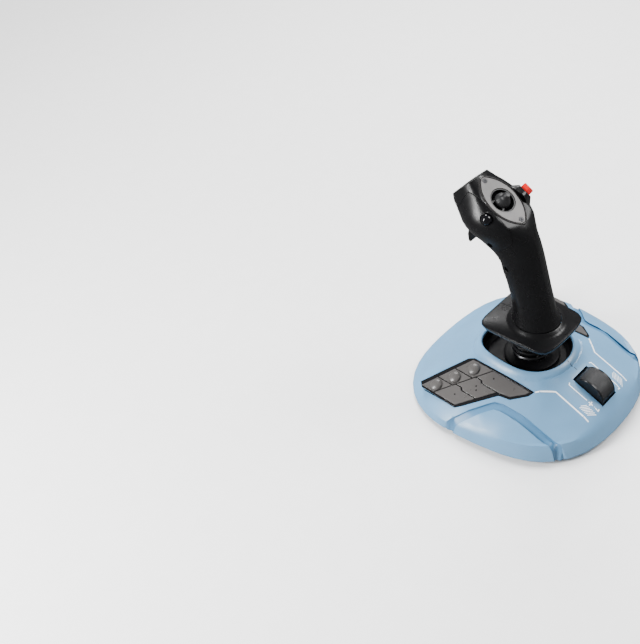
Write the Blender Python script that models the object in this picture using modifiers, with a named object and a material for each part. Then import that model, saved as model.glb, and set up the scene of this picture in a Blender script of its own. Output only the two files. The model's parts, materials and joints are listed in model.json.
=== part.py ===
"""Flight joystick on a weighted base, built as an assembly of separate parts.

Lengths below are millimetres about the stick's own upright axis: x to the user's right, y away from the
user and z up from the table. at() turns them into metres about the centre of the base.
"""

import math

import bmesh
import bpy
from mathutils import Matrix, Vector

MM = 0.001
GAP = 0.3
STICK_Y = -4.3

# Base
BASE_BOTTOM_Z = 5.0
BASE_OUTLINE = (108.7, 6.6, 1.7, -2.3, -4.5)
BASE_WALL = 2.6
BASE_STEPS = 52
RIM_RATIO = 0.955
ROLL_RATIO = 0.84
WALL_PROFILE = ((RIM_RATIO, 1.0), (0.98, 0.7), (1.0, 0.0))
RIM_HEIGHT = (17.05, -7.1, -1.45)
SIDE_SLOPE = (63.2, 0.42)
REAR_SLOPE = (69.4, 0.408)
REAR_CROWN = 0.0041
FRONT_SLOPE = (69.8, 0.583)
CHANNEL_PATH = ((114, 31), (98.5, 16), (76, -5), (71.8, -9.5), (69.9, -16.5), (69.6, -40), (68.7, -70), (68, -92))
CHANNEL_DECK_STEP = 2.4
CHANNEL_WALL_STEP = 0.8
CHANNEL_PUSH = 0.9
CHANNEL_DROP = 1.5
CHANNEL_HALF = (3.3, 5.3)
CHANNEL_TALL = 15.0
PAN_BOTTOM_Z = 2.5
FOOT_RADIUS = 9.0
FOOT_PLACES = {"front_right": (60, 64), "front_left": (-60, 64),
               "rear_right": (58, -60), "rear_left": (-58, -60)}

# Well in the base
WELL_HALF_WIDTH = 36.0
WELL_FRONT = 45.0
WELL_REAR = 38.7
RING_TOP_Z = 54.0
RING_EDGE_Z = 50.0
RING_WIDTH = 9.0
BOWL_FLOOR_Z = 40.0
BOWL_HOLE_RADIUS = 22.0

# Gimbal and shaft
PIVOT_Z = 30.0
SHAFT_RADIUS = 6.0
SHAFT_BOTTOM_Z = 16.0
SHAFT_TOP_Z = 140.0
RING_INNER = 12.5
RING_OUTER = 17.5
RING_HALF_HEIGHT = 3.5
HOUSING_INNER = 25.0
HOUSING_OUTER = 30.0
PIN_RADIUS = 2.2
SPRING_RADIUS = 18.0
SPRING_WIRE = 1.3
SPRING_TURNS = 5
SPRING_Z = (45.0, 74.8)

# Hand plate
FLANGE_Z = 84.5
FLANGE_SKIRT = 4.0
FLANGE_STEPS = 56
FLANGE_SQUARE = 7.5
COLLAR_TOP_Z = 90.2

# Handle: where the back and front of each cross-section lie (y, z), its half-width, the half-width of its
# flat back, and how square its front is.
HANDLE_SECTIONS = (
    ((-28.3, 84.0), (17.9, 84.0), 21.5, 0.0, 2.1),
    ((-28.3, 91.0), (17.9, 91.0), 21.5, 0.0, 2.1),
    ((-24.2, 95.0), (17.2, 95.0), 19.8, 0.0, 2.1),
    ((-21.8, 105.0), (17.8, 105.0), 19.0, 0.0, 2.1),
    ((-19.4, 115.0), (19.0, 115.0), 18.8, 0.0, 2.1),
    ((-16.6, 125.0), (22.0, 125.0), 19.0, 0.0, 2.1),
    ((-14.1, 135.0), (24.5, 135.0), 19.3, 0.0, 2.1),
    ((-11.5, 145.0), (27.2, 145.0), 19.5, 0.0, 2.4),
    ((-9.0, 155.0), (30.7, 153.1), 20.0, 0.0, 2.0),
    ((-6.8, 164.0), (35.4, 157.4), 20.2, 0.0, 1.9),
    ((-4.3, 173.0), (41.4, 160.8), 20.4, 0.0, 1.9),
    ((-0.4, 181.0), (47.3, 163.1), 21.4, 1.0, 1.9),
    ((4.4, 188.0), (54.0, 165.3), 23.4, 4.0, 1.9),
    ((8.9, 194.2), (59.2, 168.1), 25.6, 10.0, 1.9),
    ((15.7, 198.5), (63.3, 172.1), 27.7, 14.0, 1.9),
    ((22.4, 202.8), (67.4, 176.4), 28.4, 16.0, 1.9),
    ((29.2, 207.1), (71.0, 181.0), 27.8, 16.5, 1.9),
    ((35.9, 211.3), (74.0, 186.1), 25.8, 16.0, 1.9),
    ((42.7, 215.6), (76.4, 191.2), 23.0, 14.0, 2.1),
    ((49.4, 219.9), (78.5, 197.1), 19.2, 11.0, 3.0),
    ((57.0, 224.7), (79.3, 203.3), 15.7, 8.5, 4.5),
)
HANDLE_WALL = 2.6
HANDLE_QUARTER = 7
SHELL_SPLIT = 0.15

# The side module's edge seen from the side, as (y, z)
MODULE_INNER_X = 16.8
MODULE_OUTLINE = ((8.0, 184.5), (10.5, 178.8), (15.5, 174.5), (30.0, 167.8), (42.0, 164.8), (54.0, 168.5),
                  (63.0, 178.0), (67.0, 190.0), (65.0, 200.0), (59.5, 210.5), (54.5, 222.0), (36.0, 218.0),
                  (9.0, 200.0), (7.0, 192.0))
BOSS_RADIUS = 4.4

# Hat plate: a lens on the head's sloping back
HAT_TILT = math.radians(32.4)
HAT_ORIGIN = (8.9, 194.2)
LENS_LENGTH = 54.4
LENS_HALF_WIDTH = 15.0
HAT_THICKNESS = 2.2
DISH_RADIUS = 12.0
HAT_SCREW_INSET = 4.2

# Buttons on the handle
BALL_CENTRE = (-24.2, 31.0, 203.2)
BALL_AXIS = (-0.86, -0.38, 0.34)
BALL_RADIUS = 5.0
RED_CENTRE = (25.8, 27.8, 204.6)
RED_AXIS = (0.74, -0.36, 0.57)
RED_HALF = 4.0
RED_BOSS_STEPS = 24
RED_BOSS = ((-10.5, 13.0), (-6.5, 11.6), (-3.6, 9.4), (-1.4, 7.6), (-0.2, 6.8), (0.5, 6.1))
TRIGGER_PIVOT = (64.6, 178.4)
TRIGGER_HALF_WIDTH = 4.2
TRIGGER_PIN_REACH = 8.2
SCREW_PLACES = {"handle_screw_upper": (29.8, 174.3), "handle_screw_lower": (14.2, 152.4)}
BOSS_REACH = {"handle_screw_upper": 18.7, "handle_screw_lower": 18.5}
SCREW_HEAD_X = -17.2

# Base buttons
GROUP_INNER_X = 45.0
GROUP_OUTER_X = 89.3
COLUMN_X = (75.0, 60.5)
GROUP_OUTLINE = ((89.3, 24.5), (89.3, 64.5), (86.3, 67.8), (47.5, 40.0), (45.0, 35.5), (45.0, -14.0),
                 (45.6, -32.5), (48.8, -31.0), (59.0, -18.5), (60.8, -6.5), (85.5, 19.0))
KEY_GAP = 0.5
KEY_LIFT = 0.9
KEY_DEPTH = 4.6
BEZEL_LIFT = 0.4
BEZEL_DEPTH = 3.4
DOME_RADIUS = 5.6
GROUP_ORIGIN_X = 67.0

# Throttle
DRUM_RADIUS = 17.8
DRUM_CENTRE = (-69.2, 34.0)
DRUM_HALF_WIDTH = 10.3
DRUM_SPREAD = math.radians(150)

# Lead's gland at the front of the base
GLAND_RADIUS = 3.4
GLAND_Z = 8.6
GLAND_TURN = math.radians(65)
GLAND_SPAN = (98.5, 113.0)


def at(x, y, z):
    """A point given about the stick's axis, in metres about the centre of the base."""
    return Vector((x, y + STICK_Y, z)) * MM


def new_collection(name):
    """A collection under the scene."""
    collection = bpy.data.collections.new(name)
    bpy.context.scene.collection.children.link(collection)
    return collection


def material(name, colour, roughness, metallic=0.0):
    """A plain Principled material."""
    made = bpy.data.materials.new(name)
    made.use_nodes = True
    shader = made.node_tree.nodes["Principled BSDF"]
    shader.inputs["Base Color"].default_value = (*colour, 1.0)
    shader.inputs["Roughness"].default_value = roughness
    shader.inputs["Metallic"].default_value = metallic
    return made


def link(name, mesh, looks, pivot=None):
    """A part made from a mesh in world coordinates, with its origin at the pivot."""
    obj = bpy.data.objects.new(name, mesh)
    if looks is None:
        CUTTERS.objects.link(obj)
        obj.display_type = "WIRE"
        obj.hide_render = True
    else:
        PARTS.objects.link(obj)
        mesh.materials.append(looks)
    if pivot is not None:
        mesh.transform(Matrix.Translation(-pivot))
        obj.location = pivot
    return obj


def finish(name, bm, looks, pivot=None):
    """Turns a bmesh into a part."""
    bmesh.ops.recalc_face_normals(bm, faces=bm.faces)
    mesh = bpy.data.meshes.new(name)
    bm.to_mesh(mesh)
    bm.free()
    return link(name, mesh, looks, pivot)


def loft(name, sections, looks, pivot=None, closed=False):
    """Skins closed sections in order; closed joins the last to the first, else both ends are capped."""
    bm = bmesh.new()
    rows = [[bm.verts.new(point) for point in section] for section in sections]
    pairs = list(zip(rows, rows[1:]))
    if closed:
        pairs.append((rows[-1], rows[0]))
    else:
        bm.faces.new(rows[0])
        bm.faces.new(rows[-1])
    for lower, upper in pairs:
        for i, vert in enumerate(lower):
            bm.faces.new((lower[i - 1], vert, upper[i], upper[i - 1]))
    return finish(name, bm, looks, pivot)


def baked(name, maker, frame, looks, pivot=None):
    """Turns a curve or a modified object into a clean mesh, placed by frame, and removes the maker."""
    bpy.context.scene.collection.objects.link(maker)
    bpy.context.view_layer.update()
    graph = bpy.context.evaluated_depsgraph_get()
    mesh = bpy.data.meshes.new_from_object(maker.evaluated_get(graph))
    bpy.data.objects.remove(maker)
    bm = bmesh.new()
    bm.from_mesh(mesh)
    bmesh.ops.remove_doubles(bm, verts=bm.verts, dist=1e-6)
    bmesh.ops.transform(bm, matrix=frame, verts=bm.verts)
    return finish(name, bm, looks, pivot)


def prism(name, outline, low, high, frame, looks, pivot=None):
    """A flat outline in the frame's own plane, given depth from low to high along its normal."""
    data = bpy.data.curves.new(name, "CURVE")
    data.dimensions = "2D"
    data.fill_mode = "BOTH"
    data.extrude = (high - low) / 2 * MM
    spline = data.splines.new("POLY")
    spline.points.add(len(outline) - 1)
    for point, (x, y) in zip(spline.points, outline):
        point.co = (x * MM, y * MM, 0.0, 1.0)
    spline.use_cyclic_u = True
    lift = Matrix.Translation((0.0, 0.0, (low + high) / 2 * MM))
    return baked(name, bpy.data.objects.new(name, data), frame @ lift, looks, pivot)


def turned(name, profile, frame, looks, pivot=None, steps=32):
    """A closed profile of (radius, height) turned about the frame's own normal."""
    mesh = bpy.data.meshes.new(name)
    edges = [(i, (i + 1) % len(profile)) for i in range(len(profile))]
    if profile[0][0] == 0.0 and profile[-1][0] == 0.0:
        edges.pop()
    mesh.from_pydata([(r * MM, 0.0, h * MM) for r, h in profile], edges, [])
    maker = bpy.data.objects.new(name, mesh)
    screw = maker.modifiers.new("Turn", "SCREW")
    screw.steps = steps
    screw.render_steps = steps
    screw.use_merge_vertices = True
    screw.merge_threshold = 1e-5
    return baked(name, maker, frame, looks, pivot)


def rod(name, radius, start, end, looks, pivot=None, segments=20):
    """A round rod between two points in metres."""
    way = end - start
    frame = Matrix.Translation((start + end) / 2) @ way.to_track_quat("Z", "Y").to_matrix().to_4x4()
    bm = bmesh.new()
    bmesh.ops.create_cone(bm, cap_ends=True, segments=segments, radius1=radius * MM, radius2=radius * MM,
                          depth=way.length, matrix=frame)
    return finish(name, bm, looks, pivot)


def box(name, size, centre, frame, looks, pivot=None):
    """A box of a size and centre in millimetres, in the frame."""
    scale = Matrix.Diagonal((*(side * MM for side in size), 1.0))
    bm = bmesh.new()
    bmesh.ops.create_cube(bm, size=1.0, matrix=frame @ Matrix.Translation(Vector(centre) * MM) @ scale)
    return finish(name, bm, looks, pivot)


def ball(name, radius, centre, looks, pivot=None, segments=14):
    """A sphere."""
    bm = bmesh.new()
    bmesh.ops.create_uvsphere(bm, u_segments=segments, v_segments=segments // 2, radius=radius * MM,
                              matrix=Matrix.Translation(centre))
    return finish(name, bm, looks, pivot)


def combine(obj, other, operation="DIFFERENCE"):
    """Cuts, joins or intersects a part with a cutter."""
    step = obj.modifiers.new(other.name, "BOOLEAN")
    step.operation = operation
    step.solver = "EXACT"
    step.object = other


def soften(obj, width, segments=1):
    """Rounds a part's sharp edges."""
    bevel = obj.modifiers.new("Bevel", "BEVEL")
    bevel.width = width * MM
    bevel.segments = segments
    bevel.limit_method = "ANGLE"


def grown(outline, amount):
    """A closed outline moved outwards by an even amount."""
    points = [Vector(point) for point in outline]
    area = sum(p.cross(q) for p, q in zip(points, points[1:] + points[:1]))
    moved = []
    for i, point in enumerate(points):
        before = (point - points[i - 1]).normalized()
        after = (points[(i + 1) % len(points)] - point).normalized()
        sideways = [Vector((way.y, -way.x)) * math.copysign(1, area) for way in (before, after)]
        moved.append(point + (sideways[0] + sideways[1]) * amount / (1 + sideways[0].dot(sideways[1])))
    return moved


def frame_from(origin, normal, side=Vector((0, 1, 0))):
    """A frame whose Z runs along the normal and whose Y leans towards side."""
    z_axis = Vector(normal).normalized()
    x_axis = side.cross(z_axis).normalized()
    y_axis = z_axis.cross(x_axis)
    turn = Matrix((x_axis, y_axis, z_axis)).transposed().to_4x4()
    return Matrix.Translation(origin) @ turn


def base_radius(phi):
    """Distance from the stick's axis to the base's edge, phi turning from straight ahead."""
    return sum(size * math.cos(n * phi) for n, size in enumerate(BASE_OUTLINE))


def well_radius(phi):
    """Distance from the stick's axis to the well's edge."""
    across = abs(math.sin(phi)) / WELL_HALF_WIDTH
    if math.cos(phi) > 0:
        power = 3.6
        along = math.cos(phi) / WELL_FRONT
    else:
        power = 2.2
        along = -math.cos(phi) / WELL_REAR
    return (across**power + along**power) ** (-1 / power)


def deck_height(x, y):
    """Height of the base's top: the lowest of its side, rear and front slopes."""
    side = SIDE_SLOPE[0] - SIDE_SLOPE[1] * abs(x)
    rear = REAR_SLOPE[0] + REAR_SLOPE[1] * y - REAR_CROWN * x**2
    front = FRONT_SLOPE[0] - FRONT_SLOPE[1] * y
    return min(side, rear, front)


def angles(steps):
    """Even turns round a circle."""
    return [math.tau * i / steps for i in range(steps)]


def base_loop(radius_at, height_at):
    """One loop round the base; the height is worked out from the angle and the radius."""
    loop = []
    for phi in angles(BASE_STEPS):
        r = radius_at(phi)
        x = r * math.sin(phi)
        y = r * math.cos(phi)
        loop.append(at(x, y, height_at(phi, x, y)))
    return loop


def rim_height(phi):
    """Height of the rounded edge between the base's top and its wall."""
    return sum(size * math.cos(n * phi) for n, size in enumerate(RIM_HEIGHT))


def top_height(phi, x, y):
    """Height of the base's top, rolled down to its rim."""
    ratio = math.hypot(x, y) / base_radius(phi)
    roll = max(0.0, (ratio - ROLL_RATIO) / (RIM_RATIO - ROLL_RATIO)) ** 2
    return deck_height(x, y) * (1 - roll) + rim_height(phi) * roll


def wall_loop(ratio, share, inset):
    """A loop on the base's wall, share of the way up from its bottom edge."""
    return base_loop(lambda phi: base_radius(phi) * ratio - inset,
                     lambda phi, x, y: BASE_BOTTOM_Z + (rim_height(phi) - inset - BASE_BOTTOM_Z) * share)


def deck_loop(share, drop):
    """A loop on the base's top between the ring's foot and the rim."""
    def radius(phi):
        inner = well_radius(phi) + RING_WIDTH
        return inner + (base_radius(phi) * 0.92 - inner) * share
    return base_loop(radius, lambda phi, x, y: top_height(phi, x, y) - drop)


def ring_loop(offset, height):
    """A loop on the raised ring round the well."""
    return base_loop(lambda phi: well_radius(phi) + offset, lambda phi, x, y: height)


def make_top_shell():
    """The blue top moulding, open at the well, the button groups, the throttle and the underside."""
    loops = [ring_loop(0.0, RING_EDGE_Z), ring_loop(0.0, RING_TOP_Z - 1.0), ring_loop(1.2, RING_TOP_Z)]
    loops += [ring_loop(4.5, RING_TOP_Z - 1.2), ring_loop(7.0, RING_TOP_Z - 4.5)]
    loops += [deck_loop(share, 0.0) for share in (0.0, 0.3, 0.6, 0.82, 1.0)]
    loops += [wall_loop(ratio, share, 0.0) for ratio, share in WALL_PROFILE]
    loops += [wall_loop(1.0, 0.0, BASE_WALL), wall_loop(0.975, 0.7, BASE_WALL)]
    loops += [deck_loop(share, BASE_WALL + 0.4) for share in (1.0, 0.82, 0.6, 0.3, 0.0)]
    loops += [ring_loop(4.6, RING_EDGE_Z)]
    shell = loft("base_top_shell", loops, BLUE, closed=True)
    for side, sign in (("left", -1), ("right", 1)):
        frame = deck_frame(sign)
        hole = prism(f"cut_group_{side}", grown(deck_outline(GROUP_OUTLINE, sign), 1.8), -8, 8, frame, None)
        combine(shell, hole)
        combine(shell, channel_cutter(side, sign))
    slot = box("cut_throttle_slot", (2 * DRUM_HALF_WIDTH + 1.6, 2 * DRUM_RADIUS + 1.0, 24), (0, 0, 5),
               throttle_frame(), None)
    combine(shell, slot)
    gland_hole = rod("cut_gland", GLAND_RADIUS + GAP, gland_point(125), gland_point(90), None)
    combine(shell, gland_hole)
    return shell


def gland_point(distance):
    """A point on the line along which the lead leaves the base."""
    return at(distance * math.sin(GLAND_TURN), distance * math.cos(GLAND_TURN), GLAND_Z)


def outside_height(x, y):
    """Height of the base's outside at a place in plan, its top and then its wall."""
    phi = math.atan2(x, y)
    ratio = math.hypot(x, y) / base_radius(phi)
    if ratio < RIM_RATIO:
        return top_height(phi, x, y)
    for (inner, upper), (outer, lower) in zip(WALL_PROFILE, WALL_PROFILE[1:]):
        share = upper + (lower - upper) * (ratio - inner) / (outer - inner)
        if ratio < outer:
            break
    return BASE_BOTTOM_Z + (rim_height(phi) - BASE_BOTTOM_Z) * share


def channel_cutter(side, sign):
    """The shallow channel from the side wall to a peak and back over the rear rim."""
    corners = [Vector(point) for point in CHANNEL_PATH]
    points = [corners[0]]
    for start, end in zip(corners, corners[1:]):
        step = CHANNEL_WALL_STEP if start is corners[0] or end is corners[-1] else CHANNEL_DECK_STEP
        count = max(1, round((end - start).length / step))
        points += [start.lerp(end, i / count) for i in range(1, count + 1)]
    sections = []
    for i, point in enumerate(points):
        before = (point - points[i - 1]).normalized() if i else None
        after = (points[i + 1] - point).normalized() if i + 1 < len(points) else None
        way = ((before or after) + (after or before)).normalized()
        across = Vector((-way.y, way.x)) / way.dot(after or before)
        low, high = CHANNEL_HALF
        section = []
        for reach, lift in ((-low, 0.0), (low, 0.0), (high, CHANNEL_TALL), (-high, CHANNEL_TALL)):
            place = point + across * reach
            outer = place * (1 + CHANNEL_PUSH / place.length)
            height = max(-2.0, outside_height(*outer) - CHANNEL_DROP) + lift
            section.append(at(sign * place.x, place.y, height))
        sections.append(section)
    return loft(f"cut_channel_{side}", sections, None)


def make_bottom_pan():
    """The flat black pan that closes the base."""
    heights = ((0.91, PAN_BOTTOM_Z), (0.95, PAN_BOTTOM_Z + 1.2), (0.95, BASE_BOTTOM_Z - GAP))
    loops = [base_loop(lambda phi, k=k: base_radius(phi) * k, lambda phi, x, y, z=z: z) for k, z in heights]
    return loft("base_bottom_pan", loops, BLACK)


def make_feet():
    """Four rubber feet under the pan."""
    top = PAN_BOTTOM_Z - GAP
    profile = ((0.0, 0.0), (FOOT_RADIUS - 1.0, 0.0), (FOOT_RADIUS, 0.8), (FOOT_RADIUS, top), (0.0, top))
    for place, (x, y) in FOOT_PLACES.items():
        turned(f"rubber_foot_{place}", profile, Matrix.Translation(at(x, y, 0)), RUBBER, steps=20)


def make_bowl():
    """The black bowl that hangs under the ring and surrounds the gimbal's opening."""
    top = RING_EDGE_Z - GAP
    floor = BOWL_FLOOR_Z
    loops = [ring_loop(3.2, top), ring_loop(-0.6, top), ring_loop(-2.2, floor + 3.0), ring_loop(-6.0, floor)]
    hole = base_loop(lambda phi: BOWL_HOLE_RADIUS, lambda phi, x, y: floor)
    hole_under = base_loop(lambda phi: BOWL_HOLE_RADIUS, lambda phi, x, y: floor - 2.2)
    loops += [hole, hole_under, ring_loop(-4.0, floor - 2.2), ring_loop(0.0, floor + 1.8)]
    loops += [ring_loop(1.2, top - 2.0), ring_loop(3.2, top - 1.6)]
    return loft("well_bowl", loops, BLACK, closed=True)


def make_gimbal():
    """Housing, ring, pins and shaft: the stick pitches with the ring and rolls inside it."""
    centre = at(0, 0, PIVOT_Z)
    upright = Matrix.Translation(at(0, 0, 0))
    bottom = BASE_BOTTOM_Z
    top = BOWL_FLOOR_Z - 2.2 - GAP
    wall = ((HOUSING_INNER, bottom), (HOUSING_OUTER + 3, bottom), (HOUSING_OUTER + 3, bottom + 3),
            (HOUSING_OUTER, bottom + 3), (HOUSING_OUTER, top), (HOUSING_INNER, top))
    housing = turned("gimbal_housing", wall, upright, GREY_PLASTIC, steps=32)
    low = PIVOT_Z - RING_HALF_HEIGHT
    high = PIVOT_Z + RING_HALF_HEIGHT
    rim = ((RING_INNER, low), (RING_OUTER, low), (RING_OUTER, high), (RING_INNER, high))
    ring = turned("gimbal_ring", rim, upright, GREY_PLASTIC, centre, steps=32)
    for side, sign in (("left", -1), ("right", 1)):
        inner = at(sign * (RING_OUTER - 4.0), 0, PIVOT_Z)
        outer = at(sign * (HOUSING_OUTER - 0.4), 0, PIVOT_Z)
        rod(f"trunnion_pin_{side}", PIN_RADIUS, inner, outer, STEEL, segments=16)
    hole = rod("cut_trunnion", PIN_RADIUS + GAP, at(-40, 0, PIVOT_Z), at(40, 0, PIVOT_Z), None, segments=16)
    combine(housing, hole)
    ring_hole = rod("cut_ring_trunnion", PIN_RADIUS + GAP, at(-25, 0, PIVOT_Z), at(25, 0, PIVOT_Z), None,
                    segments=16)
    combine(ring, ring_hole)
    hub = 8.4
    profile = ((0.0, SHAFT_BOTTOM_Z), (SHAFT_RADIUS, SHAFT_BOTTOM_Z), (SHAFT_RADIUS, PIVOT_Z - 7),
               (hub, PIVOT_Z - 5), (hub, PIVOT_Z + 5), (SHAFT_RADIUS, PIVOT_Z + 7), (SHAFT_RADIUS, SHAFT_TOP_Z),
               (0.0, SHAFT_TOP_Z))
    shaft = turned("stick_shaft", profile, upright, STEEL, centre, steps=24)
    cross = rod("cut_cross_pin", PIN_RADIUS + GAP, at(0, -25, PIVOT_Z), at(0, 25, PIVOT_Z), None, segments=16)
    combine(shaft, cross)
    combine(ring, cross)
    rod("gimbal_cross_pin", PIN_RADIUS, at(0, -RING_OUTER + 0.6, PIVOT_Z), at(0, RING_OUTER - 0.6, PIVOT_Z), STEEL,
        centre, segments=16)
    magnet = ((0.0, SHAFT_BOTTOM_Z - 3.5), (5.0, SHAFT_BOTTOM_Z - 3.5), (5.5, SHAFT_BOTTOM_Z - 3.0),
              (5.5, SHAFT_BOTTOM_Z - GAP), (0.0, SHAFT_BOTTOM_Z - GAP))
    turned("magnet_holder", magnet, upright, BLACK, centre, steps=20)
    board = ((0.0, bottom), (15.0, bottom), (15.0, bottom + 1.6), (4.0, bottom + 1.6), (4.0, bottom + 4.0),
             (0.0, bottom + 4.0))
    turned("hall_sensor_board", board, upright, BOARD, steps=20)
    return shaft


def make_springs():
    """The centring spring between its two seats."""
    upright = Matrix.Translation(at(0, 0, 0))
    centre = at(0, 0, PIVOT_Z)
    low = SPRING_Z[0] - SPRING_WIRE - GAP
    high = SPRING_Z[1] + SPRING_WIRE + GAP
    lower = ((15.6, BOWL_FLOOR_Z + GAP), (27.0, BOWL_FLOOR_Z + GAP), (27.0, low - 1.0), (25.0, low),
             (15.6, low))
    turned("spring_seat_lower", lower, upright, BLACK, steps=32)
    upper = ((SHAFT_RADIUS + GAP, high - 6.0), (15.4, high - 6.0), (15.8, high), (23.0, high), (24.0, high + 2.4),
             (SHAFT_RADIUS + GAP, high + 2.4))
    turned("spring_seat_upper", upper, upright, BLACK, centre, steps=32)
    coil = bpy.data.curves.new("centring_spring", "CURVE")
    coil.dimensions = "3D"
    coil.bevel_depth = SPRING_WIRE * MM
    coil.bevel_resolution = 1
    coil.use_fill_caps = True
    spline = coil.splines.new("POLY")
    count = SPRING_TURNS * 14
    spline.points.add(count)
    for i, point in enumerate(spline.points):
        turn = math.tau * i / 14
        height = SPRING_Z[0] + (SPRING_Z[1] - SPRING_Z[0]) * i / count
        point.co = (*at(SPRING_RADIUS * math.cos(turn), SPRING_RADIUS * math.sin(turn), height), 1.0)
    baked("centring_spring", bpy.data.objects.new("centring_spring", coil), Matrix.Identity(4), DARK_STEEL)


def flange_rim(inset, height):
    """The hand plate's outline: wider at the front, bowed at the rear, with round corners."""
    loop = []
    for phi in angles(FLANGE_STEPS):
        across = math.sin(phi)
        along = math.cos(phi)
        half_width = 34.0 + 1.5 * along - inset
        half_length = (37.3 if along > 0 else 38.6) - inset
        total = (abs(across) / half_width) ** FLANGE_SQUARE + (abs(along) / half_length) ** FLANGE_SQUARE
        r = total ** (-1 / FLANGE_SQUARE)
        bow = 3.2 * max(0.0, 1 - (r * across / half_width) ** 2) if along < 0 else 0.0
        rise = 1.2 * max(0.0, -along) ** 2
        loop.append(at(r * across, 1.5 + r * along - bow * min(1.0, -2 * along), height + rise))
    return loop


def foot_loop(grow, height):
    """An oval round the handle's foot."""
    return [at((21.5 + grow) * math.sin(phi), -5.2 + (23.1 + grow) * math.cos(phi), height)
            for phi in angles(FLANGE_STEPS)]


def make_flange():
    """The hand plate in two halves, with a raised collar round the handle's foot."""
    top = FLANGE_Z
    loops = [foot_loop(0.5, 82.6), foot_loop(0.5, COLLAR_TOP_Z), foot_loop(1.4, COLLAR_TOP_Z - 0.3)]
    loops += [foot_loop(3.0, COLLAR_TOP_Z - 2.4), foot_loop(6.0, top + 1.9)]
    loops += [flange_rim(2.0, top + 0.6), flange_rim(0.4, top), flange_rim(0.0, top - 1.0)]
    loops += [flange_rim(0.8, top - FLANGE_SKIRT), flange_rim(2.8, top - FLANGE_SKIRT)]
    loops += [flange_rim(3.4, top - 2.0), foot_loop(4.0, 82.6)]
    twist = at(0, 0, FLANGE_Z)
    for side, sign in (("left", -1), ("right", 1)):
        half = loft(f"flange_{side}", loops, BLACK, twist, closed=True)
        keep = box(f"keep_flange_{side}", (60, 120, 40), (sign * (30 + SHELL_SPLIT), 0, 86),
                   Matrix.Translation(at(0, 0, 0)), None)
        combine(half, keep, "INTERSECT")


def handle_section(section, inset, sign):
    """Half of the handle's cross-section, from the seam at its back to the seam at its front."""
    back, front, half_width, flat, power = section
    start = Vector(back)
    way = Vector(front) - start
    length = way.length - 2 * inset
    way.normalize()
    start += way * inset
    a = half_width - inset
    flat = min(flat, max(a - 5.0, 0.0))
    middle = length * (0.4 if flat > 2 else 0.5)
    quarter = [math.pi / 2 * i / HANDLE_QUARTER for i in range(HANDLE_QUARTER + 1)]
    half = [(flat + (a - flat) * math.sin(turn), middle * (1 - math.cos(turn))) for turn in quarter[:-1]]
    half += [(a * math.cos(turn) ** (2 / power), middle + (length - middle) * math.sin(turn) ** (2 / power))
             for turn in quarter[:-1]]
    half = [(SHELL_SPLIT, 0.0), *half[1:], (SHELL_SPLIT, length)]
    return [at(sign * u, *(start + way * w)) for u, w in half]


def inner_sections():
    """The handle's sections again, with the last one drawn back from the front wall."""
    before, last = HANDLE_SECTIONS[-2:]
    share = 0.55
    back, front = (tuple(p + (q - p) * share for p, q in zip(before[k], last[k])) for k in (0, 1))
    return (*HANDLE_SECTIONS[:-1], (back, front, *(p + (q - p) * share for p, q in zip(before[2:], last[2:]))))


def half_shell(name, sign, looks, pivot=None):
    """One half of the hollow handle, open at its foot and along the seam."""
    bm = bmesh.new()
    layers = []
    for sections, inset in ((HANDLE_SECTIONS, 0.0), (inner_sections(), HANDLE_WALL)):
        layers.append([[bm.verts.new(point) for point in handle_section(section, inset, sign)]
                       for section in sections])
    outer, inner = layers
    for rows in layers:
        for lower, upper in zip(rows, rows[1:]):
            for i in range(1, len(lower)):
                bm.faces.new((lower[i - 1], lower[i], upper[i], upper[i - 1]))
        bm.faces.new(rows[-1])
    for end in (0, -1):
        for i in range(1, len(outer)):
            bm.faces.new((outer[i - 1][end], outer[i][end], inner[i][end], inner[i - 1][end]))
    for i in range(1, len(outer[0])):
        bm.faces.new((outer[0][i - 1], outer[0][i], inner[0][i], inner[0][i - 1]))
    bm.faces.new((outer[-1][0], outer[-1][-1], inner[-1][-1], inner[-1][0]))
    return finish(name, bm, looks, pivot)


def side_frame():
    """A frame whose X runs along y, whose Y runs up, and whose Z runs to the right."""
    turn = Matrix(((0, 0, 1), (1, 0, 0), (0, 1, 0))).to_4x4()
    return Matrix.Translation(at(0, 0, 0)) @ turn


def hat_frame(along=0.0, above=0.0):
    """A frame on the hat plate: Y runs up its slope and Z out of it."""
    y_axis = Vector((0.0, math.cos(HAT_TILT), math.sin(HAT_TILT)))
    z_axis = Vector((0.0, -math.sin(HAT_TILT), math.cos(HAT_TILT)))
    turn = Matrix((Vector((1, 0, 0)), y_axis, z_axis)).transposed().to_4x4()
    place = at(0, *HAT_ORIGIN) + (y_axis * along + z_axis * above) * MM
    return Matrix.Translation(place) @ turn


def lens_outline(grow):
    """The hat plate's lens, as two arcs with clipped tips."""
    half = LENS_LENGTH / 2
    radius = (half**2 + LENS_HALF_WIDTH**2) / (2 * LENS_HALF_WIDTH) + grow
    shift = radius - grow - LENS_HALF_WIDTH
    reach = math.acos((shift + 1.6) / radius)
    outline = []
    for sign in (1, -1):
        for i in range(-7, 8):
            turn = reach * i / 7
            outline.append((sign * (radius * math.cos(turn) - shift), half + sign * radius * math.sin(turn)))
    return outline


def trigger_slot_outline():
    """The opening in the head's front for the trigger, seen from the side."""
    return ((84, 190), (60, 190), (52, 176), (49, 150), (84, 150))


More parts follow.
